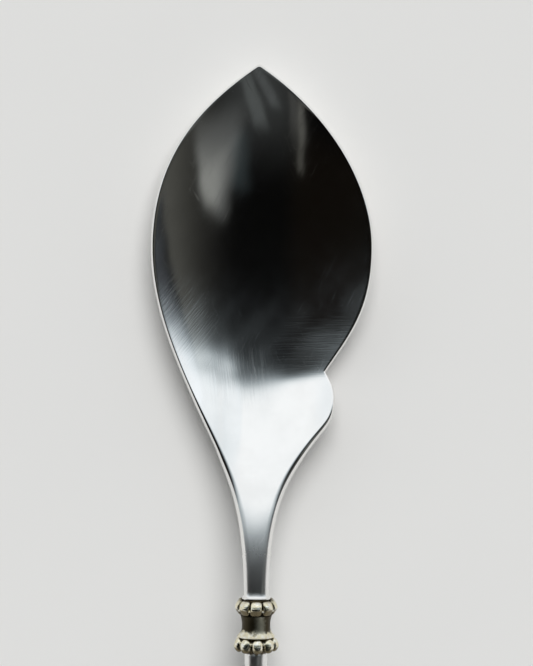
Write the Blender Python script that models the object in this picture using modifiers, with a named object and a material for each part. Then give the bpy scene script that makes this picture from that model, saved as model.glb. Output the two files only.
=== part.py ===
"""Dessert spoon with a dished, pointed bowl notched on one side, and a handle strung on the bowl's tang.

The bowl, shoulder, neck, foot and tang are one forging. A beaded collar, a waisted spool, a second beaded
collar and the stem are strung on the tang, and a finial on its own stud closes the far end of the stem.
Lengths are in metres. X runs across the spoon, Y along it towards the tip, and Z up from the table.
"""
import math
from collections import namedtuple

import bmesh
import bpy
import numpy as np
from mathutils import Matrix, Vector
from mathutils.geometry import interpolate_bezier

MM = 0.001
DEG = math.pi / 180

# Runs of the forging along Y, from the foot to the tip
FLANK_RUN = 27.1 * MM          # foot to the middle of the right flank
SHOULDER_RUN = 9.7 * MM        # flank to the widest place of the shoulder
NOTCH_RUN = 4.8 * MM           # shoulder to the inner corner of the notch
BOWL_REAR_RUN = 22.8 * MM      # notch to the widest place of the bowl
BOWL_FRONT_RUN = 33.2 * MM     # widest place of the bowl to the tip

# Reaches of its outline from the long axis, to the left and right of someone looking down at it
NECK_WIDTH = 4.4 * MM
FLANK_REACH = 9.3 * MM
SHOULDER_LEFT_REACH = 11.8 * MM
SHOULDER_RIGHT_REACH = 14.05 * MM
NOTCH_REACH = 12.4 * MM
BOWL_LEFT_REACH = 19.5 * MM
BOWL_RIGHT_REACH = 20.9 * MM
NOSE_HALF_WIDTH = 0.6 * MM     # where the straight flanks of the tip turn into its rounded nose
NOSE_DROP = 0.25 * MM

# Form of the bowl's upper face
DEEPEST_RUN = 24.0 * MM        # notch to the deepest place
TIP_RISE = 7.0 * MM            # tip above the deepest place
HEEL_RISE = 1.8 * MM           # fold between bowl and shoulder above the deepest place
SIDE_RISE = 6.2 * MM           # bowl's right rim above its floor at the widest place
FOLD_DROP = 2.5 * MM           # how far the fold runs back between the notch and the long axis
FOLD_TURN_REACH = 2.0 * MM     # where it starts to sweep forward again, left of the long axis
FOLD_LEFT_LIFT = 14.5 * MM     # how far it sweeps forward by the left rim
FOLD_SOFT_RIGHT = 1.3 * MM     # softness of the fold at the notch
FOLD_SOFT_LEFT = 9.0 * MM      # softness of the fold at the left rim
NECK_BEND_RUN = 17.0 * MM      # length next to the foot over which the shoulder's ramp bends to the handle

# Thicknesses and edge rounds
FLOOR_GAUGE = 1.1 * MM
RIM_GAUGE = 0.9 * MM
RIM_ROUND = 0.4 * MM
NECK_GAUGE = 3.4 * MM
NECK_ROUND = 1.1 * MM
NECK_RUN = 8.0 * MM            # length of neck that keeps the full gauge
REST_FLAT_DEPTH = 0.15 * MM    # metal worn off below the deepest place, which leaves a flat to rest on

# Foot, tang and the pieces strung on it
FOOT_RADIUS = 2.6 * MM
FOOT_THROAT_RADIUS = 1.9 * MM
FOOT_RIM = 0.4 * MM
FOOT_FLARE = 0.9 * MM
TANG_RADIUS = 1.2 * MM
TANG_CLEARANCE = 0.1 * MM
TANG_ENGAGEMENT = 7.0 * MM     # length of tang inside the stem
STACK_GAP = 0.1 * MM           # solder line between pieces that seat on each other
COLLAR_LENGTH = 2.7 * MM
COLLAR_INRADIUS = 2.3 * MM     # axis to the middle of a side of the ring
UPPER_COLLAR_RADIUS = 4.0 * MM
LOWER_COLLAR_RADIUS = 4.2 * MM
LOWER_COLLAR_TURN = -5.0 * DEG
BEAD_COUNT = 9
BEAD_WIDTH = 1.75 * MM
BEAD_ROOF = 0.7 * MM           # fall of a bead's outer face from its ridge to its ends
BEAD_ROUND = 0.35 * MM
SPOOL_LENGTH = 4.1 * MM
SPOOL_CROWN_RUN = 1.8 * MM     # length over which the spool draws in to its waist
SPOOL_FLARE_RUN = 1.6 * MM     # length over which it flares out again to its lip
SPOOL_TOP_RADIUS = 2.95 * MM
SPOOL_WAIST_RADIUS = 2.6 * MM
SPOOL_LIP_RADIUS = 3.45 * MM

# Stem and its far end
HANDLE_TILT = 8.0 * DEG        # fall of the handle where it leaves the foot
STEM_TURN = 6.0 * DEG          # how much of that fall the stem takes out along its length
STEM_LENGTH = 67.0 * MM
STEM_ROOT_RADIUS = 2.1 * MM
STEM_WAIST_RADIUS = 1.8 * MM
STEM_END_RADIUS = 2.2 * MM
END_COLLAR_LENGTH = 1.6 * MM
END_COLLAR_RADIUS = 2.9 * MM
FINIAL_LENGTH = 9.0 * MM
FINIAL_BASE_RADIUS = 2.1 * MM
FINIAL_RADIUS = 3.4 * MM
FINIAL_BULGE = 3.4 * MM        # from the finial's base to its widest place
FINIAL_FULLNESS = 0.5          # share of each length over which the bud stays near its widest
FINIAL_BLUNTNESS = 0.45        # share of its radius over which the point is blunt
FINIAL_BASE_SPREAD = 0.3       # share of the base's radius that the bud spreads before it turns up
STUD_RADIUS = 1.1 * MM
STUD_ENGAGEMENT = 5.0 * MM

# Fineness of the meshes
NECK_ROWS = 20
BOWL_ROWS = 30
HALF_COLUMNS = 9
RIM_STEPS = 2
TURN_STEPS = 24
STEM_STEPS = 16
PROFILE_STEPS = 6
HALF_ROUND_STEPS = 8
BEAD_ROUND_STEPS = 2
BEAD_ROUND_LIMIT = 0.45        # share of a bead's least depth that its round may take

SILVER = (0.80, 0.80, 0.79, 1.0)
GILT = (0.78, 0.68, 0.42, 1.0)

# Places along Y that the runs add up to
SHOULDER_STATION = FLANK_RUN + SHOULDER_RUN
NOTCH_STATION = SHOULDER_STATION + NOTCH_RUN
WIDEST_STATION = NOTCH_STATION + BOWL_REAR_RUN
TIP_STATION = WIDEST_STATION + BOWL_FRONT_RUN
DEEPEST_STATION = NOTCH_STATION + DEEPEST_RUN
HEEL_STATION = NOTCH_STATION - FOLD_DROP

# Places along the tang, from the seat of the foot towards the far end of the handle
UPPER_COLLAR_START = STACK_GAP
SPOOL_START = UPPER_COLLAR_START + COLLAR_LENGTH + STACK_GAP
LOWER_COLLAR_START = SPOOL_START + SPOOL_LENGTH + STACK_GAP
STEM_START = LOWER_COLLAR_START + COLLAR_LENGTH + STACK_GAP
TANG_LENGTH = STEM_START + TANG_ENGAGEMENT
BORE_RADIUS = TANG_RADIUS + TANG_CLEARANCE
STUD_BORE_RADIUS = STUD_RADIUS + TANG_CLEARANCE
FINIAL_START = STACK_GAP + END_COLLAR_LENGTH + STACK_GAP

# The handle's bend, and the height at which its finial just rests on the table
STEM_BEND_RADIUS = STEM_LENGTH / STEM_TURN
SEAT_TURN = Matrix.Rotation(math.pi / 2 + HANDLE_TILT, 4, "X")
STEM_END_SHIFT = Vector((
    0.0,
    STEM_BEND_RADIUS * (1 - math.cos(STEM_TURN)),
    STEM_START + STEM_BEND_RADIUS * math.sin(STEM_TURN),
))
STEM_END_TURN = Matrix.Rotation(-STEM_TURN, 4, "X")
STEM_END_PLACE = SEAT_TURN @ Matrix.Translation(STEM_END_SHIFT) @ STEM_END_TURN
FINIAL_BULGE_PLACE = STEM_END_PLACE @ Vector((0.0, 0.0, FINIAL_START + FINIAL_BULGE))
FINIAL_TIP_PLACE = STEM_END_PLACE @ Vector((0.0, 0.0, FINIAL_START + FINIAL_LENGTH))
SEAT_HEIGHT = FINIAL_RADIUS * math.cos(HANDLE_TILT - STEM_TURN) - FINIAL_BULGE_PLACE.z
FOOT_TOP_HEIGHT = SEAT_HEIGHT + NECK_GAUGE / 2

Knot = namedtuple("Knot", "x y heading back fore", defaults=(0.0, 0.0))
Edge = namedtuple("Edge", "x y out_x out_y")


def clear_scene():
    for old in list(bpy.data.objects):
        bpy.data.objects.remove(old, do_unlink=True)


def new_collection(name):
    collection = bpy.data.collections.new(name)
    bpy.context.scene.collection.children.link(collection)
    return collection


def metal(name, colour, roughness):
    material = bpy.data.materials.new(name)
    material.use_nodes = True
    shader = material.node_tree.nodes["Principled BSDF"]
    shader.inputs["Base Color"].default_value = colour
    shader.inputs["Metallic"].default_value = 1.0
    shader.inputs["Roughness"].default_value = roughness
    return material


def smooth_step(low, high, value):
    share = min(max((value - low) / (high - low), 0.0), 1.0)
    return share * share * (3 - 2 * share)


def blend(start, end, share):
    return start + (end - start) * share


def heading_vector(degrees):
    return np.array((math.cos(degrees * DEG), math.sin(degrees * DEG)))


def edge_from_knots(knots, side):
    """A cubic through the knots. Headings are in degrees from +X, handles are shares of the chord.
    side is +1 where the outside lies to the left of the direction of travel, -1 to the right."""
    share = np.linspace(0.0, 1.0, 60)[:, None]
    stretches = []
    for first, second in zip(knots, knots[1:]):
        start = np.array((first.x, first.y))
        end = np.array((second.x, second.y))
        chord = np.linalg.norm(end - start)
        handle_out = start + heading_vector(first.heading[-1]) * chord * first.fore
        handle_in = end - heading_vector(second.heading[0]) * chord * second.back
        near = (1 - share) ** 3 * start + 3 * share * (1 - share) ** 2 * handle_out
        far = 3 * share ** 2 * (1 - share) * handle_in + share ** 3 * end
        stretches.append((near + far)[1:] if stretches else near + far)
    points = np.concatenate(stretches)
    along = np.gradient(points, axis=0)
    along[-1] = heading_vector(knots[-1].heading[0])
    along /= np.linalg.norm(along, axis=1)[:, None]
    return Edge(points[:, 0], points[:, 1], -side * along[:, 1], side * along[:, 0])


def left_edge():
    nose_y = TIP_STATION - NOSE_DROP
    return edge_from_knots([
        Knot(-NECK_WIDTH / 2, 0.0, (90,), fore=0.47),
        Knot(-SHOULDER_LEFT_REACH, SHOULDER_STATION, (113.5,), back=0.37, fore=0.31),
        Knot(-BOWL_LEFT_REACH, WIDEST_STATION, (90,), back=0.36, fore=0.44),
        Knot(-NOSE_HALF_WIDTH, nose_y, (34.3,), back=0.33, fore=0.4),
        Knot(0.0, TIP_STATION, (0,), back=0.4),
    ], side=1)


def right_edge():
    nose_y = TIP_STATION - NOSE_DROP
    return edge_from_knots([
        Knot(NECK_WIDTH / 2, 0.0, (90,), fore=0.5),
        Knot(FLANK_REACH, FLANK_RUN, (55.6,), back=0.31, fore=0.58),
        Knot(SHOULDER_RIGHT_REACH, SHOULDER_STATION, (90,), back=0.43, fore=0.44),
        Knot(NOTCH_REACH, NOTCH_STATION, (117.7, 56.0), back=0.3, fore=0.36),
        Knot(BOWL_RIGHT_REACH, WIDEST_STATION, (90,), back=0.46, fore=0.36),
        Knot(NOSE_HALF_WIDTH, nose_y, (146.6,), back=0.31, fore=0.4),
        Knot(0.0, TIP_STATION, (180,), back=0.4),
    ], side=-1)


def floor_curve():
    """Cubic of the bowl's floor along the axis, level at the deepest place: its two factors."""
    to_tip = TIP_STATION - DEEPEST_STATION
    to_heel = HEEL_STATION - DEEPEST_STATION
    cube = (TIP_RISE / to_tip ** 2 - HEEL_RISE / to_heel ** 2) / (to_tip - to_heel)
    square = TIP_RISE / to_tip ** 2 - cube * to_tip
    return square, cube


FLOOR_SQUARE, FLOOR_CUBE = floor_curve()
HEEL_REACH = HEEL_STATION - DEEPEST_STATION
HEEL_SLOPE = 2 * FLOOR_SQUARE * HEEL_REACH + 3 * FLOOR_CUBE * HEEL_REACH ** 2
FLOOR_HEIGHT = FLOOR_GAUGE - REST_FLAT_DEPTH
WALL_CURVE = SIDE_RISE / BOWL_RIGHT_REACH ** 2

# The shoulder is a straight ramp from the fold that reaches the foot's height in line with the handle
FOOT_SLOPE = HEEL_SLOPE - math.tan(HANDLE_TILT)
FOOT_LIFT = FOOT_TOP_HEIGHT - FLOOR_HEIGHT - HEEL_RISE + HEEL_SLOPE * HEEL_STATION
RAMP_RUN = HEEL_STATION - NECK_BEND_RUN
RAMP_SLOPE = (FOOT_LIFT - FOOT_SLOPE * NECK_BEND_RUN / 2) / (RAMP_RUN + NECK_BEND_RUN / 2)


def floor_height(y):
    """Bowl's floor along the axis, carried on in a straight line behind the heel."""
    if y < HEEL_STATION:
        return HEEL_RISE + HEEL_SLOPE * (y - HEEL_STATION)
    reach = y - DEEPEST_STATION
    return FLOOR_SQUARE * reach ** 2 + FLOOR_CUBE * reach ** 3


def shoulder_lift(x, y):
    """Height that the shoulder and neck gain behind the fold, over the floor's straight line."""
    sweep = smooth_step(-FOLD_TURN_REACH, -BOWL_LEFT_REACH, x)
    hold = smooth_step(NECK_BEND_RUN, SHOULDER_STATION, y)
    fold_y = HEEL_STATION + hold * (FOLD_DROP * x / NOTCH_REACH + FOLD_LEFT_LIFT * sweep)
    softening = smooth_step(NOTCH_REACH / 2, -BOWL_LEFT_REACH, x)
    soft = blend(FOLD_SOFT_RIGHT, FOLD_SOFT_LEFT, softening)
    behind = (fold_y - y + math.hypot(fold_y - y, soft)) / 2
    bent = max(behind - RAMP_RUN, 0.0)
    return RAMP_SLOPE * behind + (FOOT_SLOPE - RAMP_SLOPE) * bent ** 2 / (2 * NECK_BEND_RUN)


def top_height(x, y):
    """Height of the forging's upper face above the table."""
    return FLOOR_HEIGHT + floor_height(y) + shoulder_lift(x, y) + WALL_CURVE * x * x


def top_point(x, y):
    return Vector((x, y, top_height(x, y)))


def top_normal(x, y):
    step = 0.01 * MM
    across = top_point(x + step, y) - top_point(x - step, y)
    along = top_point(x, y + step) - top_point(x, y - step)
    return across.cross(along).normalized()


def gauges(y):
    """Thickness in the middle and at the edge, and the edge's round, at a place along the axis."""
    neckness = smooth_step(NOTCH_STATION, NECK_RUN, y)
    middle = blend(FLOOR_GAUGE, NECK_GAUGE, neckness)
    edge = blend(RIM_GAUGE, NECK_GAUGE, neckness)
    edge_round = blend(RIM_ROUND, NECK_ROUND, neckness)
    return middle, edge, edge_round


def on_table(point):
    """Metal below the table is worn away, which leaves the flat that the bowl rests on."""
    return Vector((point.x, point.y, max(point.z, 0.0)))


def rim_side(edge, y):
    """Where the upper face ends on one side at y, and the round of the rim from top to bottom."""
    outline = Vector((np.interp(y, edge.y, edge.x), y))
    outward = Vector((np.interp(y, edge.y, edge.out_x), np.interp(y, edge.y, edge.out_y))).normalized()
    _, gauge, edge_round = gauges(y)
    normal = top_normal(outline.x, outline.y)
    lean = -(normal.x * outward.x + normal.y * outward.y)
    inset = outline - outward * edge_round * (1 + lean)
    normal = top_normal(inset.x, inset.y)
    flat_outward = Vector((outward.x, outward.y, 0.0))
    outward_tangent = (flat_outward - normal * flat_outward.dot(normal)).normalized()
    upper_centre = top_point(inset.x, inset.y) - normal * edge_round
    lower_centre = top_point(inset.x, inset.y) - normal * (gauge - edge_round)
    round_points = []
    for step in range(1, RIM_STEPS + 1):
        angle = math.pi / 2 * step / RIM_STEPS
        spoke = outward_tangent * math.sin(angle) + normal * math.cos(angle)
        round_points.append(upper_centre + spoke * edge_round)
    for step in range(RIM_STEPS):
        angle = math.pi / 2 * (1 + step / RIM_STEPS)
        spoke = outward_tangent * math.sin(angle) + normal * math.cos(angle)
        round_points.append(lower_centre + spoke * edge_round)
    return inset, round_points


def blade_section(left, right, y):
    """One closed section of the forging: upper face left to right, right rim, lower face, left rim.
    Sections sweep back towards the axis, so they cross the rim squarely near the tip."""
    left_inset, left_round = rim_side(left, y)
    right_inset, right_round = rim_side(right, y)
    spine = Vector((0.0, y - FOLD_DROP * (y / NOTCH_STATION) ** 2))
    middle_gauge, edge_gauge, _ = gauges(y)
    upper = []
    lower = []
    for column in range(-HALF_COLUMNS, HALF_COLUMNS + 1):
        share = abs(column) / HALF_COLUMNS
        inset = left_inset if column < 0 else right_inset
        plan = spine.lerp(inset, share)
        gauge = blend(middle_gauge, edge_gauge, share ** 2)
        point = top_point(plan.x, plan.y)
        upper.append(point)
        lower.append(on_table(point - top_normal(plan.x, plan.y) * gauge))
    return upper + right_round + lower[::-1] + left_round[::-1]


def spaced(start, end, count):
    """Places from start to end, closer together at both ends."""
    return [blend(start, end, (1 - math.cos(math.pi * step / count)) / 2) for step in range(count + 1)]


def blade_mesh():
    left = left_edge()
    right = right_edge()
    neck_stations = spaced(FOOT_RIM / 2, NOTCH_STATION, NECK_ROWS)
    bowl_stations = spaced(NOTCH_STATION, TIP_STATION, BOWL_ROWS)
    mesh = bmesh.new()
    rings = []
    for y in neck_stations + bowl_stations[1:]:
        section = blade_section(left, right, y)
        rings.append([mesh.verts.new(point) for point in section])
    for ring, following in zip(rings, rings[1:]):
        for index in range(len(ring)):
            after = (index + 1) % len(ring)
            mesh.faces.new((ring[index], ring[after], following[after], following[index]))
    mesh.faces.new(rings[0])
    # The last section is folded flat on the line to the tip, so its two halves are one row of points.
    bmesh.ops.remove_doubles(mesh, verts=mesh.verts, dist=0.0001 * MM)
    bmesh.ops.recalc_face_normals(mesh, faces=mesh.faces)
    data = bpy.data.meshes.new("bowl")
    mesh.to_mesh(data)
    mesh.free()
    return data


def add_object(name, data, collection, material=None, parent=None, place=None):
    new = bpy.data.objects.new(name, data)
    collection.objects.link(new)
    if material:
        data.materials.append(material)
    if parent:
        new.parent = parent
    if place:
        new.matrix_local = place
    return new


def add_empty(name, collection, place, parent=None):
    return add_object(name, None, collection, parent=parent, place=place)


def turned(name, profile, closed=False):
    """Mesh of a profile in the XZ plane, listed down its outer side, with a Screw modifier to turn it."""
    mesh = bmesh.new()
    points = [mesh.verts.new((radius, 0.0, height)) for radius, height in profile]
    for first, second in zip(points, points[1:]):
        mesh.edges.new((first, second))
    if closed:
        mesh.edges.new((points[-1], points[0]))
    data = bpy.data.meshes.new(name)
    mesh.to_mesh(data)
    mesh.free()
    return data


def turn(piece):
    screw = piece.modifiers.new("turn", "SCREW")
    screw.steps = TURN_STEPS
    screw.render_steps = TURN_STEPS
    screw.use_merge_vertices = True
    screw.merge_threshold = 0.001 * MM
    screw.use_smooth_shade = True


def bored(name, piece, radius, low, high, cutters, parent):
    """Cuts a round bore along the parent's Z between two heights."""
    mesh = bmesh.new()
    bmesh.ops.create_cone(
        mesh, cap_ends=True, segments=TURN_STEPS, radius1=radius, radius2=radius, depth=high - low,
        matrix=Matrix.Translation((0.0, 0.0, (low + high) / 2)),
    )
    data = bpy.data.meshes.new(name)
    mesh.to_mesh(data)
    mesh.free()
    cutter = add_object(name, data, cutters, parent=parent)
    as_cutter(cutter)
    cut = piece.modifiers.new(name, "BOOLEAN")
    cut.operation = "DIFFERENCE"
    cut.object = cutter


def as_cutter(piece):
    piece.hide_render = True
    piece.display_type = "WIRE"


def make_bowl(parts, cutters, root, seat, material):
    bowl = add_object("bowl", blade_mesh(), parts, material, root)
    bowl.data.shade_smooth()
    profile = [
        (0.0, TANG_LENGTH),
        (TANG_RADIUS, TANG_LENGTH),
        (TANG_RADIUS, 0.0),
        (FOOT_RADIUS, 0.0),
        (FOOT_RADIUS, -FOOT_RIM),
        (FOOT_THROAT_RADIUS, -FOOT_RIM - FOOT_FLARE),
        (0.0, -FOOT_RIM - FOOT_FLARE),
    ]
    tang = add_object("foot_and_tang", turned("foot_and_tang", profile), cutters, parent=seat)
    turn(tang)
    as_cutter(tang)
    join = bowl.modifiers.new("foot_and_tang", "BOOLEAN")
    join.operation = "UNION"
    join.object = tang


def make_collar(name, start, turn_angle, parts, cutters, seat, material):
    """Nine-sided ring on the tang, turned a little about it."""
    middle = Matrix.Translation((0.0, 0.0, start + COLLAR_LENGTH / 2))
    corner_radius = COLLAR_INRADIUS / math.cos(math.pi / BEAD_COUNT)
    half_side = Matrix.Rotation(turn_angle + math.pi / BEAD_COUNT, 4, "Z")
    ring = bmesh.new()
    bmesh.ops.create_cone(
        ring, cap_ends=True, segments=BEAD_COUNT, radius1=corner_radius, radius2=corner_radius,
        depth=COLLAR_LENGTH, matrix=middle @ half_side,
    )
    data = bpy.data.meshes.new(f"{name}_collar")
    ring.to_mesh(data)
    ring.free()
    collar = add_object(f"{name}_collar", data, parts, material, seat)
    bore_start = start - COLLAR_LENGTH
    bore_end = start + 2 * COLLAR_LENGTH
    bored(f"{name}_collar_bore", collar, BORE_RADIUS, bore_start, bore_end, cutters, seat)


def bead_mesh(name, depth):
    """Block whose outer face falls from a ridge across its middle towards both ends."""
    bead = bmesh.new()
    size = Matrix.Diagonal((BEAD_WIDTH, depth, COLLAR_LENGTH, 1.0))
    bmesh.ops.create_cube(bead, size=1.0, matrix=size)
    whole = bead.verts[:] + bead.edges[:] + bead.faces[:]
    bmesh.ops.bisect_plane(bead, geom=whole, plane_co=(0.0, 0.0, 0.0), plane_no=(0.0, 0.0, 1.0))
    for vert in bead.verts:
        if vert.co.y > 0.0 and abs(vert.co.z) > COLLAR_LENGTH / 4:
            vert.co.y -= BEAD_ROOF
    data = bpy.data.meshes.new(name)
    bead.to_mesh(data)
    bead.free()
    data.shade_smooth()
    return data


def make_beads(name, start, turn_angle, outer_radius, parts, seat, material):
    """One bead soldered to each side of a collar's ring."""
    depth = outer_radius - COLLAR_INRADIUS - STACK_GAP
    data = bead_mesh(f"{name}_bead", depth)
    data.materials.append(material)
    out = Matrix.Translation((0.0, outer_radius - depth / 2, start + COLLAR_LENGTH / 2))
    for number in range(BEAD_COUNT):
        around = Matrix.Rotation(turn_angle + 2 * math.pi * number / BEAD_COUNT, 4, "Z")
        bead = add_object(f"{name}_bead_{number + 1:02d}", data, parts, parent=seat, place=around @ out)
        rounding = bead.modifiers.new("round", "BEVEL")
        rounding.width = min(BEAD_ROUND, BEAD_ROUND_LIMIT * min(BEAD_WIDTH, depth - BEAD_ROOF))
        rounding.segments = BEAD_ROUND_STEPS


def make_spool(parts, seat, material):
    """Sleeve with a waist, flaring to a lip at its lower end. Crown and flare are parabolas."""
    spool_end = SPOOL_START + SPOOL_LENGTH
    flare = []
    crown = []
    for step in range(PROFILE_STEPS + 1):
        share = (1 - step / PROFILE_STEPS) ** 2
        run = step / PROFILE_STEPS
        lip_radius = blend(SPOOL_WAIST_RADIUS, SPOOL_LIP_RADIUS, share)
        top_radius = blend(SPOOL_WAIST_RADIUS, SPOOL_TOP_RADIUS, share)
        flare.append((lip_radius, spool_end - SPOOL_FLARE_RUN * run))
        crown.append((top_radius, SPOOL_START + SPOOL_CROWN_RUN * run))
    inside = [(BORE_RADIUS, SPOOL_START), (BORE_RADIUS, spool_end)]
    data = turned("spool", flare + crown[::-1] + inside, closed=True)
    turn(add_object("spool", data, parts, material, seat))


def make_stem(parts, cutters, seat, stem_end, material):
    """Rod on a gentle arc, slimmer in the middle, bored for the tang and for the finial's stud."""
    curve = bpy.data.curves.new("stem_line", "CURVE")
    curve.dimensions = "3D"
    curve.bevel_depth = 1.0
    curve.bevel_resolution = STEM_STEPS // 2 - 2
    curve.use_fill_caps = True
    spline = curve.splines.new("POLY")
    spline.points.add(STEM_STEPS)
    for step, point in enumerate(spline.points):
        share = step / STEM_STEPS
        angle = STEM_TURN * share
        height = STEM_BEND_RADIUS * (1 - math.cos(angle))
        point.co = (0.0, height, STEM_START + STEM_BEND_RADIUS * math.sin(angle), 1.0)
        swell = (2 * share - 1) ** 2
        end_radius = STEM_ROOT_RADIUS if share < 0.5 else STEM_END_RADIUS
        point.radius = blend(STEM_WAIST_RADIUS, end_radius, swell)
    line = add_object("stem_line", curve, cutters, parent=seat)
    bpy.context.view_layer.update()
    depsgraph = bpy.context.evaluated_depsgraph_get()
    data = bpy.data.meshes.new_from_object(line.evaluated_get(depsgraph))
    data.name = "stem"
    bpy.data.objects.remove(line, do_unlink=True)
    mesh = bmesh.new()
    mesh.from_mesh(data)
    bmesh.ops.remove_doubles(mesh, verts=mesh.verts, dist=0.001 * MM)
    bmesh.ops.recalc_face_normals(mesh, faces=mesh.faces)
    mesh.to_mesh(data)
    mesh.free()
    data.shade_smooth()
    stem = add_object("stem", data, parts, material, seat)
    tang_bore_end = TANG_LENGTH + TANG_CLEARANCE
    bored("tang_bore", stem, BORE_RADIUS, STEM_START - STEM_LENGTH, tang_bore_end, cutters, seat)
    stud_bore_end = -STUD_ENGAGEMENT - TANG_CLEARANCE
    bored("stud_bore", stem, STUD_BORE_RADIUS, stud_bore_end, STEM_LENGTH, cutters, stem_end)


def make_end_collar(parts, stem_end, material):
    """Plain half-round ring between the stem and the finial."""
    middle = STACK_GAP + END_COLLAR_LENGTH / 2
    half = END_COLLAR_LENGTH / 2
    shoulder = END_COLLAR_RADIUS - half
    outside = []
    for step in range(HALF_ROUND_STEPS + 1):
        angle = math.pi / 2 - math.pi * step / HALF_ROUND_STEPS
        outside.append((shoulder + half * math.cos(angle), middle + half * math.sin(angle)))
    inside = [(STUD_BORE_RADIUS, middle - half), (STUD_BORE_RADIUS, middle + half)]
    data = turned("end_collar", outside + inside, closed=True)
    turn(add_object("end_collar", data, parts, material, stem_end))


def make_finial(parts, stem_end, material):
    """Turned bud: swells from its base to the bulge, then runs in to a rounded point. Stud below it."""
    base = Vector((FINIAL_BASE_RADIUS, FINIAL_START, 0.0))
    bulge = Vector((FINIAL_RADIUS, FINIAL_START + FINIAL_BULGE, 0.0))
    point = Vector((0.0, FINIAL_START + FINIAL_LENGTH, 0.0))
    ahead = FINIAL_LENGTH - FINIAL_BULGE
    blunt = point + Vector((FINIAL_BLUNTNESS * FINIAL_RADIUS, 0.0, 0.0))
    full_ahead = bulge + Vector((0.0, FINIAL_FULLNESS * ahead, 0.0))
    full_behind = bulge - Vector((0.0, FINIAL_FULLNESS * FINIAL_BULGE, 0.0))
    spread = base + Vector((FINIAL_BASE_SPREAD * FINIAL_BASE_RADIUS, 0.0, 0.0))
    upper = interpolate_bezier(point, blunt, full_ahead, bulge, 2 * PROFILE_STEPS)
    lower = interpolate_bezier(bulge, full_behind, spread, base, PROFILE_STEPS)
    outside = [(place.x, place.y) for place in upper + lower[1:]]
    stud = [(STUD_RADIUS, FINIAL_START), (STUD_RADIUS, -STUD_ENGAGEMENT), (0.0, -STUD_ENGAGEMENT)]
    turn(add_object("finial", turned("finial", outside + stud), parts, material, stem_end))


def main():
    clear_scene()
    parts = new_collection("dessert_spoon")
    cutters = new_collection("cutters")
    bowl_silver = metal("bowl_silver", SILVER, 0.18)
    stem_silver = metal("stem_silver", SILVER, 0.22)
    collar_gilt = metal("collar_gilt", GILT, 0.35)
    bead_gilt = metal("bead_gilt", GILT, 0.25)
    spool_gilt = metal("spool_gilt", GILT, 0.3)
    finial_gilt = metal("finial_gilt", GILT, 0.28)

    centre_x = (BOWL_RIGHT_REACH - BOWL_LEFT_REACH) / 2
    centre_y = (TIP_STATION + FINIAL_TIP_PLACE.y) / 2
    root = add_empty("spoon", parts, Matrix.Translation((-centre_x, -centre_y, 0.0)))
    seat = add_empty("seat", parts, Matrix.Translation((0.0, 0.0, SEAT_HEIGHT)) @ SEAT_TURN, root)
    stem_end = add_empty("stem_end", parts, Matrix.Translation(STEM_END_SHIFT) @ STEM_END_TURN, seat)

    make_bowl(parts, cutters, root, seat, bowl_silver)
    make_collar("upper", UPPER_COLLAR_START, 0.0, parts, cutters, seat, collar_gilt)
    make_beads("upper", UPPER_COLLAR_START, 0.0, UPPER_COLLAR_RADIUS, parts, seat, bead_gilt)
    make_spool(parts, seat, spool_gilt)
    make_collar("lower", LOWER_COLLAR_START, LOWER_COLLAR_TURN, parts, cutters, seat, collar_gilt)
    make_beads(
        "lower", LOWER_COLLAR_START, LOWER_COLLAR_TURN, LOWER_COLLAR_RADIUS, parts, seat, bead_gilt,
    )
    make_stem(parts, cutters, seat, stem_end, stem_silver)
    make_end_collar(parts, stem_end, collar_gilt)
    make_finial(parts, stem_end, finial_gilt)


main()
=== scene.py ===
import math

import bmesh
import bpy
import numpy as np
from mathutils import Matrix, Vector


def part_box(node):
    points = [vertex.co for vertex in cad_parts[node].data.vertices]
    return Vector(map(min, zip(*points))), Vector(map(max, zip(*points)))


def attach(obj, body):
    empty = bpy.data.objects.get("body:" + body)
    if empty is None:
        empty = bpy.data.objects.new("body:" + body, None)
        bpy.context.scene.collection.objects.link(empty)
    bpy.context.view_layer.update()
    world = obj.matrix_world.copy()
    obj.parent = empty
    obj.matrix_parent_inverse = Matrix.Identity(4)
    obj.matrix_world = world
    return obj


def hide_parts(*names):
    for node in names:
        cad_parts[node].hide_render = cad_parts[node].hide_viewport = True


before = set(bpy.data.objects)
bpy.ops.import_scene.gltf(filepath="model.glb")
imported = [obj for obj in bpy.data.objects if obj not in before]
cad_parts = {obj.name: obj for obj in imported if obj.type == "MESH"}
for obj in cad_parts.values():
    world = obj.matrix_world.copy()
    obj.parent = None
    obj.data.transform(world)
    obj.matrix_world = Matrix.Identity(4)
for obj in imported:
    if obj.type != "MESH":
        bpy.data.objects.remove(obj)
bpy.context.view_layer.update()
mm = 0.001
print("frame loaded,", len(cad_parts), "nodes")


# small helpers shared by all pieces

weldReach = 0.0000001      # metres
bevelMiddle = 0.3          # how far in the middle of a rounded edge lies, as a share of the edge


def smoothStep(low, high, value):
    share = np.clip((value - low) / (high - low), 0.0, 1.0)
    return share * share * (3 - 2 * share)


def blend(start, end, share):
    return start + (end - start) * share


def unit(vectors):
    return vectors / np.linalg.norm(vectors, axis=-1)[..., None]


def joinRows(build, rings, closeLoop=False):
    # quads between each ring of points and the next
    rows = [[build.verts.new(point) for point in ring] for ring in rings]
    for row, following in zip(rows, rows[1:] + (rows[:1] if closeLoop else [])):
        for index in range(len(row)):
            after = (index + 1) % len(row)
            build.faces.new((row[index], row[after], following[after], following[index]))
    return rows


def finishMesh(name, build):
    bmesh.ops.remove_doubles(build, verts=build.verts, dist=weldReach)
    bmesh.ops.recalc_face_normals(build, faces=build.faces)
    mesh = bpy.data.meshes.new(name)
    build.to_mesh(mesh)
    build.free()
    mesh.shade_smooth()
    return mesh


def addPiece(mesh, material, node):
    mesh.materials.append(material)
    piece = bpy.data.objects.new(mesh.name, mesh)
    bpy.context.scene.collection.objects.link(piece)
    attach(piece, "root")
    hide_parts(node)


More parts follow.
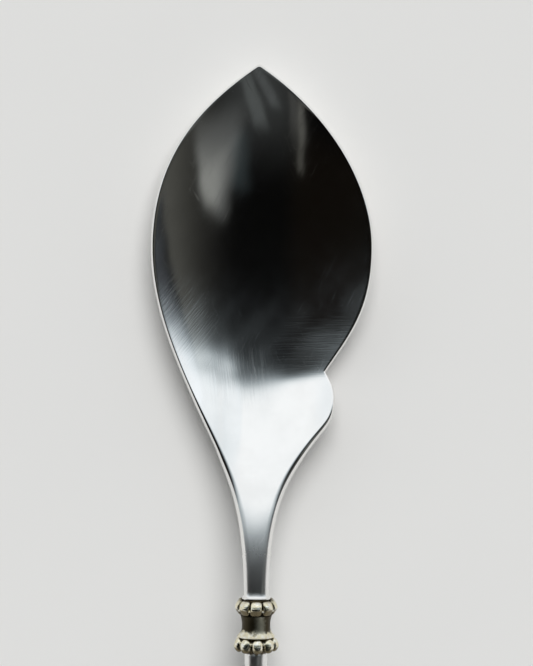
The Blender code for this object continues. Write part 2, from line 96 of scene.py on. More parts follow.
def placed(matrix, points):
    # points in mm in the matrix's own frame, given back in metres
    turn = np.array(matrix.to_3x3())
    return points @ turn.T * mm + np.array(matrix.translation)


def roundSteps(count):
    return np.linspace(0, 2 * np.pi, count, endpoint=False)


def ringAt(place, around, radius, along):
    # points round the place's axis; the radius in mm is one for all of them, or one for each
    return placed(place, np.stack([-np.sin(around) * radius, np.cos(around) * radius,
                                   np.full_like(around, along)], axis=1))


# material nodes

noiseMiddle = 0.5          # a noise swings about this value
spotCore = 0.4             # share of a spot's reach in which it is full


def newTree(name):
    material = bpy.data.materials.new(name)
    material.use_nodes = True
    return material, material.node_tree


def plug(tree, value, socket):
    if isinstance(value, bpy.types.NodeSocket):
        tree.links.new(value, socket)
    else:
        socket.default_value = value


def addNode(tree, kind, settings=None, **inputs):
    node = tree.nodes.new(kind)
    for key, value in (settings or {}).items():
        setattr(node, key, value)
    for key, value in inputs.items():
        plug(tree, value, node.inputs[key])
    return node


def calc(tree, operation, *values, clamp=False):
    node = addNode(tree, "ShaderNodeMath", {"operation": operation, "use_clamp": clamp})
    for value, socket in zip(values, node.inputs):
        plug(tree, value, socket)
    return node.outputs[0]


def vectorCalc(tree, operation, *values):
    node = addNode(tree, "ShaderNodeVectorMath", {"operation": operation})
    sockets = [node.inputs[0], node.inputs["Scale"]] if operation == "SCALE" else node.inputs
    for value, socket in zip(values, sockets):
        plug(tree, value, socket)
    return node.outputs["Value" if operation in ("LENGTH", "DOT_PRODUCT") else "Vector"]


def ramp(tree, value, low, high):
    node = addNode(tree, "ShaderNodeMapRange", {"interpolation_type": "SMOOTHSTEP"})
    for key, given in (("Value", value), ("From Min", low), ("From Max", high)):
        plug(tree, given, node.inputs[key])
    return node.outputs["Result"]


def mixColour(tree, share, first, second):
    node = addNode(tree, "ShaderNodeMix", {"data_type": "RGBA"}, Factor=share)
    firstColour, secondColour = [socket for socket in node.inputs if socket.type == "RGBA"]
    plug(tree, first, firstColour)
    plug(tree, second, secondColour)
    return next(socket for socket in node.outputs if socket.type == "RGBA")


def noise(tree, coords, scale, detail, roughness=0.5):
    node = addNode(tree, "ShaderNodeTexNoise", Vector=coords, Scale=scale, Detail=detail,
                   Roughness=roughness)
    return node.outputs["Fac"]


def millimetres(tree):
    coords = tree.nodes.new("ShaderNodeTexCoord").outputs["Object"]
    return vectorCalc(tree, "SCALE", coords, 1 / mm)


def spot(tree, coords, middle, reach):
    # soft round mask about a place in mm
    away = vectorCalc(tree, "LENGTH", vectorCalc(tree, "SUBTRACT", coords, middle))
    return ramp(tree, away, reach, spotCore * reach)


def newMetal(name):
    material, tree = newTree(name)
    shader = tree.nodes["Principled BSDF"]
    shader.inputs["Metallic"].default_value = 1.0
    return material, tree, shader


def dressMetal(tree, shader, colour, rough, height, depth):
    bump = addNode(tree, "ShaderNodeBump", Height=height, Strength=1.0, Distance=depth * mm)
    plug(tree, colour, shader.inputs["Base Color"])
    plug(tree, rough, shader.inputs["Roughness"])
    plug(tree, bump.outputs[0], shader.inputs["Normal"])


# where the handle starts, read from the frame

# mm, and the tilt in degrees
handle = {"tilt": 8.0, "solder": 0.1, "collarLength": 2.7, "sides": 9, "ringInradius": 2.3}


def frameAt(origin, axis):
    # X across the spoon, Y up, Z along the handle away from the bowl
    sideways = Vector((1.0, 0.0, 0.0))
    turn = Matrix((sideways, axis.cross(sideways), axis)).transposed()
    return Matrix.Translation(origin) @ turn.to_4x4()


# from the end of the piece before to the middle of a collar
collarMiddle = handle["solder"] + handle["collarLength"] / 2


def findSeat():
    # the ring has a flat on top and a corner below, so the middle of its box lies under its axis
    tilt = math.radians(handle["tilt"])
    low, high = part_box("upper_collar")
    middle = frameAt((low + high) / 2, Vector((0.0, -math.cos(tilt), -math.sin(tilt))))
    rise = handle["ringInradius"] * (1 / math.cos(math.pi / handle["sides"]) - 1) / 2
    return middle @ Matrix.Translation(Vector((0.0, rise, -collarMiddle)) * mm)


seat = findSeat()
print("handle seat at", [round(value / mm, 3) for value in seat.translation], "mm")


# finishes

silverLook = {
    "bright": (0.93, 0.925, 0.91, 1.0), "toned": (0.87, 0.865, 0.85, 1.0),
    "pitted": (0.16, 0.15, 0.13, 1.0),
    "polish": 0.10,              # roughness of the bowl
    "handled": 0.30,             # roughness of the neck and stem
    "handledFrom": 22.0,         # the bowl's polish starts to go here, mm from the foot
    "handledFull": 4.0,          # and has gone here
    "smudge": 0.07, "hairlineRough": 0.04,               # roughness that smudges and hairlines add
    "hairlineDepth": 0.0028,     # mm
    "grainDepth": 0.2, "pitDepth": 4.0,                  # in hairline depths
    # noises: scale per mm, detail, roughness
    "smudgeNoise": (0.35, 5.0, 0.65), "grainNoise": (5.0, 3.0, 0.6), "toneNoise": (0.11, 4.0, 0.6),
    "toneEdge": (0.35, 0.75),
    # pits: cells per mm, soft edge, the draw that gives a cell its pit, darkness
    "pitScale": 0.14, "pitEdge": (0.022, 0.010), "pitDraw": (0.45, 0.5), "pitDark": 0.8,
    # strokes: scale of their noise along and across them per mm, and where one starts and is full
    "hairlines": [
        {"angle": 64, "along": 0.14, "across": 4.5, "from": 0.62, "full": 0.80},
        {"angle": 118, "along": 0.2, "across": 5.5, "from": 0.64, "full": 0.82},
    ],
    "rubStroke": {"along": 0.17, "across": 3.3, "from": 0.42, "full": 0.70},
    "strokeNoise": (1.0, 2.0, 0.6), "strokeBend": (0.05, 1.0),
    "rubHeight": 5.0,            # height of the rubbed places above the table, mm
}

# strokes left where the bowl was rubbed: middle across and along from the foot and reach in mm
rubbed = [
    {"across": -16.5, "along": 51.0, "reach": 12.0, "angle": 52, "strength": 1.1},
    {"across": -3.0, "along": 40.5, "reach": 9.0, "angle": 97, "strength": 2.6},
    {"across": 11.0, "along": 46.0, "reach": 11.0, "angle": 2, "strength": 0.5},
]


def strokes(tree, coords, stroke, angle):
    # fine marks that run at one angle over the spoon, bent a little by a slow noise
    bend = noise(tree, coords, *silverLook["strokeBend"])
    shift = addNode(tree, "ShaderNodeCombineXYZ", X=bend, Y=bend).outputs[0]
    bent = vectorCalc(tree, "ADD", coords, shift)
    turned = addNode(tree, "ShaderNodeMapping", Vector=bent, Rotation=(0.0, 0.0, -math.radians(angle)))
    scale = (stroke["along"], stroke["across"], stroke["along"])
    drawn = addNode(tree, "ShaderNodeMapping", Vector=turned.outputs[0], Scale=scale)
    streaks = noise(tree, drawn.outputs[0], *silverLook["strokeNoise"])
    return ramp(tree, streaks, stroke["from"], stroke["full"])


def silver(name, rubs=()):
    # with rubs it is the bowl's silver, polished but for the neck, and without them the stem's
    look = silverLook
    material, tree, shader = newMetal(name)
    coords = millimetres(tree)
    marks = calc(tree, "ADD", *[strokes(tree, coords, line, line["angle"]) for line in look["hairlines"]])
    for rub in rubs:
        middle = seat.translation / mm + Vector((rub["across"], rub["along"], 0.0))
        middle.z = look["rubHeight"]
        mask = calc(tree, "MULTIPLY", spot(tree, coords, middle, rub["reach"]), rub["strength"])
        lines = strokes(tree, coords, look["rubStroke"], rub["angle"])
        marks = calc(tree, "MULTIPLY_ADD", lines, mask, marks)

    rough = look["handled"]
    if rubs:
        footY = seat.translation.y / mm
        alongY = addNode(tree, "ShaderNodeSeparateXYZ", Vector=coords).outputs["Y"]
        handled = ramp(tree, alongY, footY + look["handledFrom"], footY + look["handledFull"])
        rough = calc(tree, "MULTIPLY_ADD", handled, look["handled"] - look["polish"], look["polish"])
    smudge = calc(tree, "SUBTRACT", noise(tree, coords, *look["smudgeNoise"]), noiseMiddle)
    rough = calc(tree, "ADD", rough, calc(tree, "MULTIPLY", smudge, look["smudge"]))
    rough = calc(tree, "MULTIPLY_ADD", marks, look["hairlineRough"], rough, clamp=True)

    cells = addNode(tree, "ShaderNodeTexVoronoi", Vector=coords, Scale=look["pitScale"])
    draw = addNode(tree, "ShaderNodeSeparateColor", Color=cells.outputs["Color"]).outputs["Red"]
    pits = calc(tree, "MULTIPLY", ramp(tree, cells.outputs["Distance"], *look["pitEdge"]),
                ramp(tree, draw, *look["pitDraw"]))
    grain = calc(tree, "MULTIPLY", noise(tree, coords, *look["grainNoise"]), look["grainDepth"])
    height = calc(tree, "MULTIPLY_ADD", marks, -1.0, grain)
    height = calc(tree, "MULTIPLY_ADD", pits, -look["pitDepth"], height)

    tone = ramp(tree, noise(tree, coords, *look["toneNoise"]), *look["toneEdge"])
    colour = mixColour(tree, tone, look["bright"], look["toned"])
    colour = mixColour(tree, calc(tree, "MULTIPLY", pits, look["pitDark"]), colour, look["pitted"])
    dressMetal(tree, shader, colour, rough, height, look["hairlineDepth"])
    return material


giltLook = {
    "bright": (0.86, 0.80, 0.60, 1.0), "worn": (0.94, 0.93, 0.86, 1.0),
    # noises: scale per mm, detail, roughness
    "cloudNoise": (0.9, 4.0, 0.6), "fineNoise": (6.0, 3.0, 0.6), "wornNoise": (1.6, 3.0, 0.55),
    "cloudEdge": (0.45, 0.75), "wornEdge": (0.42, 0.68),
    # here patina stands for the gilt's dark share, which is patina and, in places, painted shade
    "fineRough": 0.14, "patinaRough": 0.12,      # roughness that fine noise and patina add
    "fineDepth": 0.022,      # mm
    "cloudDepth": 2.0,       # in fine depths
    "wander": 0.7,           # how far the patina's edge wanders, mm
}
# dark colours of the gilt: real patina, and also painted shade where the finishes lay them over the beads'
# stem-facing halves, the parts near the collars' axis and the spool's waist
olivePatinaAndShade = (0.12, 0.095, 0.055, 1.0)
beadTarnishAndShade = (0.16, 0.133, 0.08, 1.0)
bronzeAndShade = (0.058, 0.048, 0.028, 1.0)


def gilt(name, place, finish):
    # the dark colour comes in clouds of patina, and over a (clear, full) stretch of the radius from the
    # place's axis or of the way along that axis, where it is painted shade with some patina; a lighter
    # band across the place's frame is a painted highlight, all in mm
    look = giltLook
    material, tree, shader = newMetal(name)
    coords = millimetres(tree)
    cloud = noise(tree, coords, *look["cloudNoise"])
    fine = noise(tree, coords, *look["fineNoise"])
    wander = finish.get("wander", look["wander"])
    shift = calc(tree, "MULTIPLY", calc(tree, "SUBTRACT", cloud, noiseMiddle), wander)
    offset = vectorCalc(tree, "SUBTRACT", coords, place.translation / mm)
    axis = place.to_3x3() @ Vector((0.0, 0.0, 1.0))
    shadeAndPatinaShare = calc(tree, "MULTIPLY", ramp(tree, cloud, *look["cloudEdge"]), finish["cloudy"])
    if "radial" in finish:
        radius = vectorCalc(tree, "LENGTH", vectorCalc(tree, "CROSS_PRODUCT", offset, axis))
        edge = ramp(tree, calc(tree, "ADD", radius, shift), *finish["radial"])
        shadeAndPatinaShare = calc(tree, "MAXIMUM", shadeAndPatinaShare, edge)
    if "axial" in finish:
        along = vectorCalc(tree, "DOT_PRODUCT", offset, axis)
        edge = ramp(tree, calc(tree, "ADD", along, shift), *finish["axial"])
        shadeAndPatinaShare = calc(tree, "MAXIMUM", shadeAndPatinaShare, edge)

    patinaAndShade = finish["patinaAndShade"]
    # painted highlight: a lighter band across the frame stands in for a gleam the metal mirrors
    if "paintedHighlightBand" in finish:
        paintedHighlightBand = finish["paintedHighlightBand"]
        across = addNode(tree, "ShaderNodeSeparateXYZ", Vector=offset).outputs["X"]
        across = calc(tree, "MULTIPLY_ADD", shift, paintedHighlightBand["wanderShare"], across)
        sides = [ramp(tree, across, *paintedHighlightBand[side]) for side in ("left", "right")]
        mask = calc(tree, "MULTIPLY", *sides)
        patinaAndShade = mixColour(tree, mask, patinaAndShade, paintedHighlightBand["colour"])
    worn = ramp(tree, noise(tree, coords, *look["wornNoise"]), *look["wornEdge"])
    colour = mixColour(tree, worn, look["bright"], look["worn"])
    colour = mixColour(tree, shadeAndPatinaShare, colour, patinaAndShade)

    smoothest = finish["roughness"] - look["fineRough"] / 2
    rough = calc(tree, "MULTIPLY_ADD", fine, look["fineRough"], smoothest)
    rough = calc(tree, "MULTIPLY_ADD", shadeAndPatinaShare, look["patinaRough"], rough, clamp=True)
    height = calc(tree, "MULTIPLY_ADD", cloud, look["cloudDepth"], fine)
    dressMetal(tree, shader, colour, rough, height, look["fineDepth"])
    return material


# the forging: bowl, shoulder, neck, foot and tang in one piece

bowl = {
    # along the spoon from the foot, mm
    "flankY": 27.1, "shoulderY": 36.8, "notchY": 41.6, "widestY": 64.4, "deepestY": 65.6, "tipY": 97.6,
    # across it from the axis, mm
    "neckHalf": 2.2, "flankReach": 9.3, "shoulderLeft": 11.8, "shoulderRight": 14.05, "notchReach": 12.4,
    "bowlLeft": 19.5, "bowlRight": 20.9, "noseHalf": 0.6, "noseDrop": 0.25,
    # form of the upper face; neckEnd is its slope at the foot in degrees
    "tipRise": 7.0, "heelRise": 1.65, "sideRise": 6.2,
    "foldDrop": 2.4, "foldRise": 1.75, "foldTurn": 0.5,
    "benchFrom": 2.2, "benchTo": 6.5, "sweepFrom": 7.0,
    "softRight": 1.3, "softMiddle": 3.3, "softLeft": 9.0,
    "neckBend": 17.0, "neckEnd": 4.0, "neckCrown": 0.03, "crownRun": 20.0,
    # left of the axis the fold parts in two: how far ahead each runs at the bench and by the rim
    "foldSteps": [(5.2, 6.4), (0.0, 9.0)],
    # low rises and dips the hammer left by the fold: middle across and along, height and reach
    "rises": [(-9.3, 43.2, 0.05, 1.5), (-4.6, 41.4, 0.06, 1.5), (13.5, 49.0, -0.09, 3.2)],
    # slow waves of the hammer: radians per mm across and along, and phase
    "waves": [(0.71, 0.32, 0.0), (-0.44, 0.55, 1.3), (0.93, -0.87, 0.4)],
    "waveHeight": 0.003,
    # gauges and edges
    "floorGauge": 1.1, "rimGauge": 0.9, "rimRound": 0.2,
    "neckGauge": 3.4, "neckRound": 1.45, "neckRun": 8.0,
    "restDepth": 0.15,       # how much of the floor is worn off under the deepest place
    # foot and tang; footSquare: 2 is an oval, and more is squarer
    "footHalf": 2.6, "footRise": 2.15, "footSquare": 2.8,
    "footRim": 0.35, "footEdge": 0.12, "footFillet": 1.0,
    "tangRadius": 1.2, "tangLength": 16.9, "tangChamfer": 0.3,
    # fineness
    "edgeSteps": 300, "neckRows": 110, "bowlRows": 190, "halfColumns": 44,
    "rimSteps": 7, "filletRows": 14,
}


def heading(degrees):
    return np.array((math.cos(math.radians(degrees)), math.sin(math.radians(degrees))))


def cubic(points, count):
    share = np.linspace(0.0, 1.0, count)[:, None]
    start, leave, arrive, end = [np.array(point) for point in points]
    return ((1 - share) ** 3 * start + 3 * share * (1 - share) ** 2 * leave
            + 3 * share ** 2 * (1 - share) * arrive + share ** 3 * end)


def edgeThrough(knots, outSide):
    # knots: x, y, heading in, heading out, back handle, fore handle; outSide +1 is left of travel
    stretches = []
    for first, second in zip(knots, knots[1:]):
        startX, startY, _, leaving, _, foreHandle = first
        endX, endY, arriving, _, backHandle, _ = second
        start = np.array((startX, startY))
        end = np.array((endX, endY))
        chord = np.linalg.norm(end - start)
        leave = start + heading(leaving) * chord * foreHandle
        arrive = end - heading(arriving) * chord * backHandle
        points = cubic((start, leave, arrive, end), bowl["edgeSteps"])
        stretches.append(points[1:] if stretches else points)
    points = np.concatenate(stretches)
    along = np.gradient(points, axis=0)
    along[-1] = heading(arriving)
    along = unit(along)
    return points, np.stack([-outSide * along[:, 1], outSide * along[:, 0]], axis=1)


def bladeEdges():
    noseY = bowl["tipY"] - bowl["noseDrop"]
    left = edgeThrough([
        (-bowl["neckHalf"], 0.0, 90, 90, 0.0, 0.47),
        (-bowl["shoulderLeft"], bowl["shoulderY"], 113.5, 113.5, 0.37, 0.31),
        (-bowl["bowlLeft"], bowl["widestY"], 90, 90, 0.36, 0.44),
        (-bowl["noseHalf"], noseY, 34.3, 34.3, 0.33, 0.4),
        (0.0, bowl["tipY"], 0, 0, 0.4, 0.0),
    ], 1)
    right = edgeThrough([
        (bowl["neckHalf"], 0.0, 90, 90, 0.0, 0.5),
        (bowl["flankReach"], bowl["flankY"], 55.6, 55.6, 0.31, 0.58),
        (bowl["shoulderRight"], bowl["shoulderY"], 90, 90, 0.43, 0.44),
        (bowl["notchReach"], bowl["notchY"], 117.7, 56.0, 0.3, 0.36),
        (bowl["bowlRight"], bowl["widestY"], 90, 90, 0.46, 0.36),
        (bowl["noseHalf"], noseY, 146.6, 146.6, 0.31, 0.4),
        (0.0, bowl["tipY"], 180, 180, 0.4, 0.0),
    ], -1)
    return left, right


heelY = bowl["notchY"] - bowl["foldDrop"]      # where floor and shoulder meet on the axis


def floorFactors():
    # the floor is a cubic along the axis: its two factors, and its slope at the heel
    toTip = bowl["tipY"] - bowl["deepestY"]
    toHeel = heelY - bowl["deepestY"]
    cube = (bowl["tipRise"] / toTip ** 2 - bowl["heelRise"] / toHeel ** 2) / (toTip - toHeel)
    square = bowl["tipRise"] / toTip ** 2 - cube * toTip
    return square, cube, 2 * square * toHeel + 3 * cube * toHeel ** 2


def floorHeight(y):
    # behind the heel the floor goes on straight
    square, cube, heelSlope = floorFactors()
    reach = y - bowl["deepestY"]
    straight = bowl["heelRise"] + heelSlope * (y - heelY)
    return np.where(y < heelY, straight, square * reach ** 2 + cube * reach ** 3)


def shoulderLift(x, y):
    # behind the fold the shoulder is a straight ramp, which bends over the neck into line with the handle
    heelSlope = floorFactors()[2]
    neckBend = bowl["neckBend"]
    footTop = seat.translation.z / mm + bowl["neckGauge"] / 2
    footLift = footTop - bowl["floorGauge"] + bowl["restDepth"] - floorHeight(0.0)
    footSlope = heelSlope - math.tan(math.radians(bowl["neckEnd"]))
    rampSlope = (footLift - footSlope * neckBend / 2) / (heelY - neckBend / 2)
    drop = bowl["foldRise"] * np.maximum(x, -bowl["foldTurn"]) / bowl["notchReach"]
    bench = smoothStep(-bowl["benchFrom"], -bowl["benchTo"], x)
    sweep = smoothStep(-bowl["sweepFrom"], -bowl["bowlLeft"], x)
    toMiddle = smoothStep(bowl["notchReach"] / 2, -bowl["foldTurn"], x)
    soft = blend(bowl["softRight"], bowl["softMiddle"], toMiddle)
    soft = blend(soft, bowl["softLeft"], sweep)
    hold = smoothStep(neckBend, bowl["shoulderY"], y)
    lift = 0.0
    for benchRun, sweepRun in bowl["foldSteps"]:
        ahead = heelY - y + hold * (drop + benchRun * bench + sweepRun * sweep)
        behind = (ahead + np.hypot(ahead, soft)) / 2
        bent = np.maximum(behind - heelY + neckBend, 0.0)
        lift = lift + rampSlope * behind + (footSlope - rampSlope) * bent ** 2 / (2 * neckBend)
    return lift / len(bowl["foldSteps"])


def topHeight(x, y):
    # height of the upper face above the table, mm
    wall = bowl["sideRise"] / bowl["bowlRight"] ** 2 * x * x
    crown = bowl["neckCrown"] * smoothStep(bowl["crownRun"], bowl["crownRun"] / 2, y) * x * x
    hammered = 0.0
    for acrossTurn, alongTurn, phase in bowl["waves"]:
        hammered = hammered + bowl["waveHeight"] * np.sin(acrossTurn * x + alongTurn * y + phase)
    for across, along, rise, reach in bowl["rises"]:
        hammered = hammered + rise * np.exp(-((x - across) ** 2 + (y - along) ** 2) / (2 * reach ** 2))
    floor = bowl["floorGauge"] - bowl["restDepth"] + floorHeight(y)
    return floor + shoulderLift(x, y) + wall - crown + hammered


def topPoint(plan):
    return np.concatenate([plan, topHeight(plan[..., 0], plan[..., 1])[..., None]], axis=-1)


def topNormal(plan):
    step = 0.01
    acrossStep = np.array((step, 0.0))
    alongStep = np.array((0.0, step))
    across = topPoint(plan + acrossStep) - topPoint(plan - acrossStep)
    along = topPoint(plan + alongStep) - topPoint(plan - alongStep)
    return unit(np.cross(across, along))


def gauges(y):
    # thickness in the middle, thickness at the rim and roundness of the rim
    neckness = smoothStep(bowl["notchY"], bowl["neckRun"], y)
    pairs = (("floorGauge", "neckGauge"), ("rimGauge", "neckGauge"), ("rimRound", "neckRound"))
    return [blend(bowl[inBowl], bowl[inNeck], neckness) for inBowl, inNeck in pairs]


def rimSide(edge, y):
    # inner end of the upper face at each station, and the rounded rim from top to bottom
    points, outwards = edge
    plan = np.stack([np.interp(y, points[:, 1], points[:, 0]), y], axis=1)
    outward = unit(np.stack([np.interp(y, points[:, 1], part) for part in outwards.T], axis=1))
    _, gauge, edgeRound = gauges(y)
    lean = -(topNormal(plan)[:, :2] * outward).sum(1)
    inset = plan - outward * (edgeRound * (1 + lean))[:, None]
    normal = topNormal(inset)
    flat = np.concatenate([outward, np.zeros((len(y), 1))], axis=1)
    tangent = unit(flat - normal * (flat * normal).sum(1)[:, None])
    top = topPoint(inset)
    quarter = math.pi / 2 * np.arange(bowl["rimSteps"] + 1) / bowl["rimSteps"]
    turns = []
    for angles, depth in ((quarter[1:], edgeRound), (quarter[:-1] + math.pi / 2, gauge - edgeRound)):
        centre = top - normal * depth[:, None]
        for angle in angles:
            spoke = tangent * math.sin(angle) + normal * math.cos(angle)
            turns.append(centre + spoke * edgeRound[:, None])
    return inset, np.stack(turns, axis=1)


def bladeRings(y):
    # one closed section at each station; in the middle a section drops back, as the fold does
    left, right = bladeEdges()
    leftInset, leftTurn = rimSide(left, y)
    rightInset, rightTurn = rimSide(right, y)
    spine = np.stack([np.zeros_like(y), y - bowl["foldDrop"] * (y / bowl["notchY"]) ** 2], axis=1)
    columns = np.arange(-bowl["halfColumns"], bowl["halfColumns"] + 1)
    share = np.abs(columns)[None, :, None] / bowl["halfColumns"]
    inset = np.where(columns[None, :, None] < 0, leftInset[:, None, :], rightInset[:, None, :])
    plan = spine[:, None, :] + (inset - spine[:, None, :]) * share
    middleGauge, edgeGauge, _ = gauges(y)
    gauge = blend(middleGauge[:, None], edgeGauge[:, None], share[..., 0] ** 2)
    upper = topPoint(plan)
    lower = upper - topNormal(plan) * gauge[..., None]
    lower[..., 2] = np.maximum(lower[..., 2], 0.0)
    rings = np.concatenate([upper, rightTurn, lower[:, ::-1], leftTurn[:, ::-1]], axis=1)
    return rings * mm + np.array((seat.translation.x, seat.translation.y, 0.0))


def spaced(start, end, count):
    # closer together near both ends
    return blend(start, end, (1 - np.cos(np.pi * np.arange(count + 1) / count)) / 2)


def makeForging():
    rim = bowl["footRim"]
    edge = bowl["footEdge"]
    stations = np.concatenate([spaced(rim + bowl["footFillet"], bowl["notchY"], bowl["neckRows"]),
                               spaced(bowl["notchY"], bowl["tipY"], bowl["bowlRows"])[1:]])
    blade = bladeRings(stations)

    # the foot's rings share their spokes with the neck's section, so that one runs into the other
    seatBack = np.array(seat.inverted())
    local = blade[0] @ seatBack[:3, :3].T + seatBack[:3, 3]
    spokes = unit(local[:, :2])
    stretched = np.abs(spokes) / np.array((bowl["footHalf"], bowl["footRise"]))
    footReach = (stretched ** bowl["footSquare"]).sum(1) ** (-1 / bowl["footSquare"])

    def ring(radius, along):
        radius = np.broadcast_to(radius, len(spokes))
        return placed(seat, np.stack([spokes[:, 0] * radius, spokes[:, 1] * radius,
                                      np.full(len(spokes), along)], axis=1))

    tang = bowl["tangRadius"]
    tangEnd = bowl["tangLength"]
    chamfer = bowl["tangChamfer"]
    inset = bevelMiddle * edge
    rings = [ring(radius, along) for radius, along in (
        (tang - chamfer, tangEnd), (tang, tangEnd - chamfer), (tang, edge), (tang + edge, 0.0),
        (footReach - edge, 0.0), (footReach - inset, -inset), (footReach, -edge),
        (footReach, edge - rim), (footReach - inset, inset - rim))]
    for share in np.arange(bowl["filletRows"]) / bowl["filletRows"]:
        along = rim + bowl["footFillet"] * share
        hold = 1 - math.sqrt(1 - (1 - share) ** 2)
        rings.append(blend(bladeRings(np.array((along,)))[0], ring(footReach - edge, -along), hold))
    build = bmesh.new()
    rows = joinRows(build, rings + list(blade))
    build.faces.new(rows[0])
    # the last row is folded on the line to the tip, and finishing the mesh welds its halves
    addPiece(finishMesh("forgedBowl", build), silver("bowlSilver", rubbed), "bowl")


# collars with their beads

beads = {
    "foot": 2.42, "sideGap": 0.03, "cuts": 13,
    "ridgeSoft": 0.14, "crown": 0.22, "grooveAt": -0.22, "grooveWidth": 0.14,
    "sizeSpread": 0.05, "turnSpread": 5.0,
}

# ridgeAt and roof: where a bead's outer face is highest, and its fall to the ends; square: 2 is a ball
upperCollar = {
    "node": "upper", "radius": 4.0, "turn": 0.0, "seed": 52,
    "width": 2.1, "square": 4.2, "ridgeAt": -0.05, "roof": 0.8, "groove": 0.09,
    "grain": 0.36, "grainReach": 1.35, "grainAt": 0.45,
    # darker towards the axis and on the half towards the stem: painted shade, with some tarnish
    "finish": {"roughness": 0.14, "cloudy": 0.1, "patinaAndShade": beadTarnishAndShade,
               "radial": (3.7, 2.8), "axial": (0.0, 0.4)},
}
lowerCollar = {
    "node": "lower", "radius": 4.2, "turn": -5.0, "seed": 54,
    "width": 2.15, "square": 2.3, "ridgeAt": 0.2, "roof": 0.35, "groove": 0.03,
    "grain": 0.42, "grainReach": 1.3, "grainAt": -0.5,
    # darker towards the axis and on the half towards the stem: painted shade, with some tarnish
    "finish": {"roughness": 0.14, "cloudy": 0.1, "patinaAndShade": beadTarnishAndShade,
               "radial": (3.5, 2.6), "axial": (0.15, 0.7)},
}
collarRing = {
    "bore": 1.3, "edge": 0.12, "columns": 288, "rows": 41,
    # darker towards the axis, under and between the beads: painted shade, with some patina
    "finish": {"roughness": 0.32, "cloudy": 0.3, "patinaAndShade": olivePatinaAndShade, "radial": (3.6, 2.5)},
}


def beadMesh(name, place, collar, draw):
    # blocky bead: X across, Y outward from the axis, Z along the handle
    build = bmesh.new()
    bmesh.ops.create_cube(build, size=2.0)
    bmesh.ops.subdivide_edges(build, edges=build.edges, cuts=beads["cuts"], use_grid_fill=True)
    ball = np.array([vert.co for vert in build.verts])
    ball /= (np.abs(ball) ** collar["square"]).sum(1)[:, None] ** (1 / collar["square"])
    half = np.array((collar["width"] / 2, 1.0, handle["collarLength"] / 2))
    half *= 1 + beads["sizeSpread"] * draw.uniform(-1, 0, 3)
    across = ball[:, 0] * half[0]
    along = ball[:, 2] * half[2]
    out = (ball[:, 1] + 1) / 2
    fromRidge = np.hypot(along - collar["ridgeAt"], beads["ridgeSoft"]) - beads["ridgeSoft"]
    fall = collar["roof"] * fromRidge / half[2]
    fall += beads["crown"] * ball[:, 0] ** 2
    fall += collar["groove"] * np.exp(-((along - beads["grooveAt"]) / beads["grooveWidth"]) ** 2)
    reach = beads["foot"] + out * (collar["radius"] - beads["foot"]) - fall * out ** 2
    room = np.tan(np.pi / handle["sides"]) * reach - beads["sideGap"]
    across *= np.minimum(1.0, room / half[0])
    twist = math.radians(beads["turnSpread"]) * draw.uniform(-1, 1)
    points = np.stack([across + along * math.sin(twist) * out, reach, along], axis=1)
    for vert, point in zip(build.verts, placed(place, points)):
        vert.co = point
    return finishMesh(name, build)


def ringMesh(name, place, collar):
    # nine-sided ring with a small grain standing between each two beads
    edge = collarRing["edge"]
    half = handle["collarLength"] / 2
    step = 2 * np.pi / handle["sides"]
    around = roundSteps(collarRing["columns"])
    side = (around + step / 2) % step - step / 2
    flat = handle["ringInradius"] / np.cos(side)
    fromCorner = (step / 2 - np.abs(side)) * flat
    profile = [(collarRing["bore"], -half), (flat - edge, -half)]
    for level in np.linspace(edge - half, half - edge, collarRing["rows"]):
        near = np.hypot(fromCorner, level - collar["grainAt"]) / collar["grain"]
        profile.append((flat + collar["grainReach"] * np.sqrt(np.clip(1 - near ** 2, 0, 1)), level))
    profile += [(flat - edge, half), (collarRing["bore"], half)]
    build = bmesh.new()
    joinRows(build, [ringAt(place, around, *row) for row in profile], closeLoop=True)
    return finishMesh(name, build)


def makeCollar(collar, place, ringGilt):
    name = collar["node"]
    turned = place @ Matrix.Rotation(math.radians(collar["turn"]), 4, "Z")
    addPiece(ringMesh(f"{name}CollarRing", turned, collar), ringGilt, f"{name}_collar")
    beadGilt = gilt(f"{name}BeadGilt", place, collar["finish"])
    draw = np.random.default_rng(collar["seed"])
    for number in range(handle["sides"]):
        around = Matrix.Rotation(2 * math.pi * number / handle["sides"], 4, "Z")
        mesh = beadMesh(f"{name}Bead{number + 1:02d}", turned @ around, collar, draw)
        addPiece(mesh, beadGilt, f"{name}_bead_{number + 1:02d}")


# the spool between the collars

spool = {
    "length": 4.1, "top": 2.95, "waist": 2.6, "lip": 3.45, "crownRun": 1.8, "flareRun": 1.6, "bore": 1.3,
    "topEdge": 0.1, "lipEdge": 0.12, "steps": 14, "columns": 72,
    # the dark bronze on the waist is painted shade with some tarnish, and a lighter band right of the top
    # is a painted highlight
    "finish": {"roughness": 0.38, "cloudy": 0.2, "patinaAndShade": bronzeAndShade, "axial": (3.4, 2.7), "wander": 2.6,
               "paintedHighlightBand": {"left": (-0.7, 0.8), "right": (1.9, 1.0), "wanderShare": 0.5,
                        "colour": (0.52, 0.51, 0.41, 1.0)}},
}

# starts and middles along the handle from its seat, mm
upperCollarAt = collarMiddle
spoolAt = upperCollarAt + collarMiddle
lowerCollarAt = spoolAt + spool["length"] + collarMiddle
stemAt = lowerCollarAt + collarMiddle


def alongHandle(distance):
    return seat @ Matrix.Translation((0.0, 0.0, distance * mm))


def turnedMesh(name, place, profile, columns):
    # profile: (radius, along) pairs round the section, or from axis to axis
    around = roundSteps(columns)
    build = bmesh.new()
    joinRows(build, [ringAt(place, around, radius, along) for radius, along in profile],
             closeLoop=min(radius for radius, _ in profile) > 0.0)
    return finishMesh(name, build)


